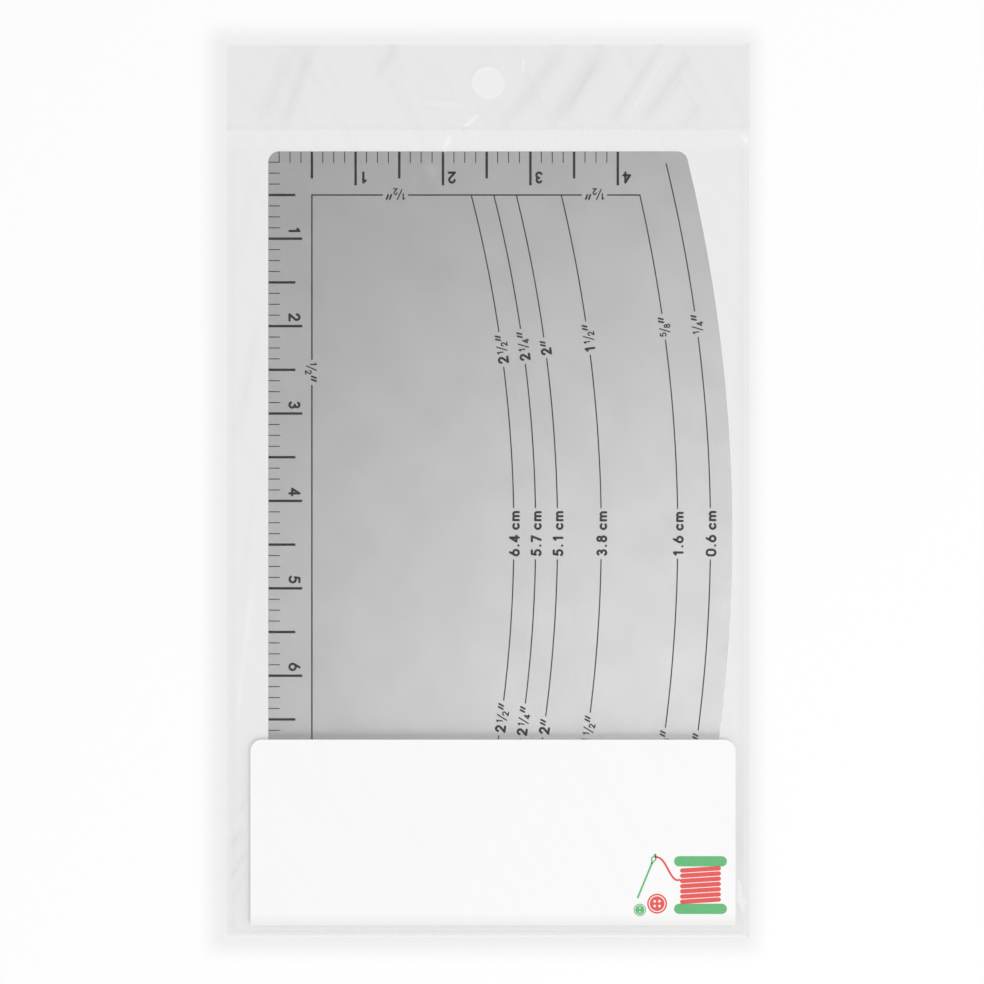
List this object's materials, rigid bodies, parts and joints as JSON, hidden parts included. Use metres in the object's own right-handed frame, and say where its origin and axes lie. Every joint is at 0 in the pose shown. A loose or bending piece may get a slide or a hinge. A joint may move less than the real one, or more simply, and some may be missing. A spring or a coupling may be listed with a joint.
{
  "type": "sewing gauge",
  "caption": "Flat metal hem gauge with a curved edge, printed inch scales and hem lines, in a clear hang pouch with a folded card.",
  "frame": {"origin": "middle of the pouch's lower face, where it rests on a table", "axes": "+Y up the pouch towards the hang hole, +Z out of the printed face, +X to the right as the front is seen"},
  "size_m": [0.1524, 0.26, 0.0024],
  "materials": {
    "aluminium_sheet": "satin",
    "plate_print": "matte ink",
    "card": "matte",
    "clear_film": "clear gloss",
    "welded_film": "clear gloss",
    "adhesive": "clear satin"
  },
  "bodies": {
    "pouch": {"back_film": "clear_film", "front_film": "clear_film", "header_strip": "clear_film", "adhesive_strip": "adhesive", "left_side_weld": "welded_film", "right_side_weld": "welded_film", "foot_weld": "welded_film"},
    "lip": {"closing_lip": "clear_film"},
    "card": {"card_front_panel": "card", "card_back_panel": "card", "card_fold": "card"},
    "gauge": {"hem_gauge_plate": "aluminium_sheet", "long_edge_fine_ticks": "plate_print", "long_edge_bold_ticks": "plate_print", "long_edge_numerals": "plate_print", "head_edge_fine_ticks": "plate_print", "head_edge_bold_ticks": "plate_print", "head_edge_numerals": "plate_print", "foot_edge_fine_ticks": "plate_print", "foot_edge_bold_ticks": "plate_print", "foot_edge_numerals": "plate_print", "hem_line_quarter": "plate_print", "hem_line_five_eighths": "plate_print", "hem_line_one_and_half": "plate_print", "hem_line_two": "plate_print", "hem_line_two_and_quarter": "plate_print", "hem_line_two_and_half": "plate_print", "inch_marks": "plate_print", "centimetre_marks": "plate_print", "border_line": "plate_print", "border_marks": "plate_print"}
  },
  "joints": [
    {"name": "card_slide", "type": "slide", "parent": "pouch", "child": "card", "axis": [0, 1, 0], "range_m": [0, 0.26]},
    {"name": "gauge_slide", "type": "slide", "parent": "card", "child": "gauge", "axis": [0, 1, 0], "range_m": [0, 0.26]},
    {"name": "lip_fold", "type": "hinge", "parent": "pouch", "child": "lip", "pos_m": [0, 0.0995, 0], "axis": [-1, 0, 0], "range_deg": [0, 170]}
  ]
}
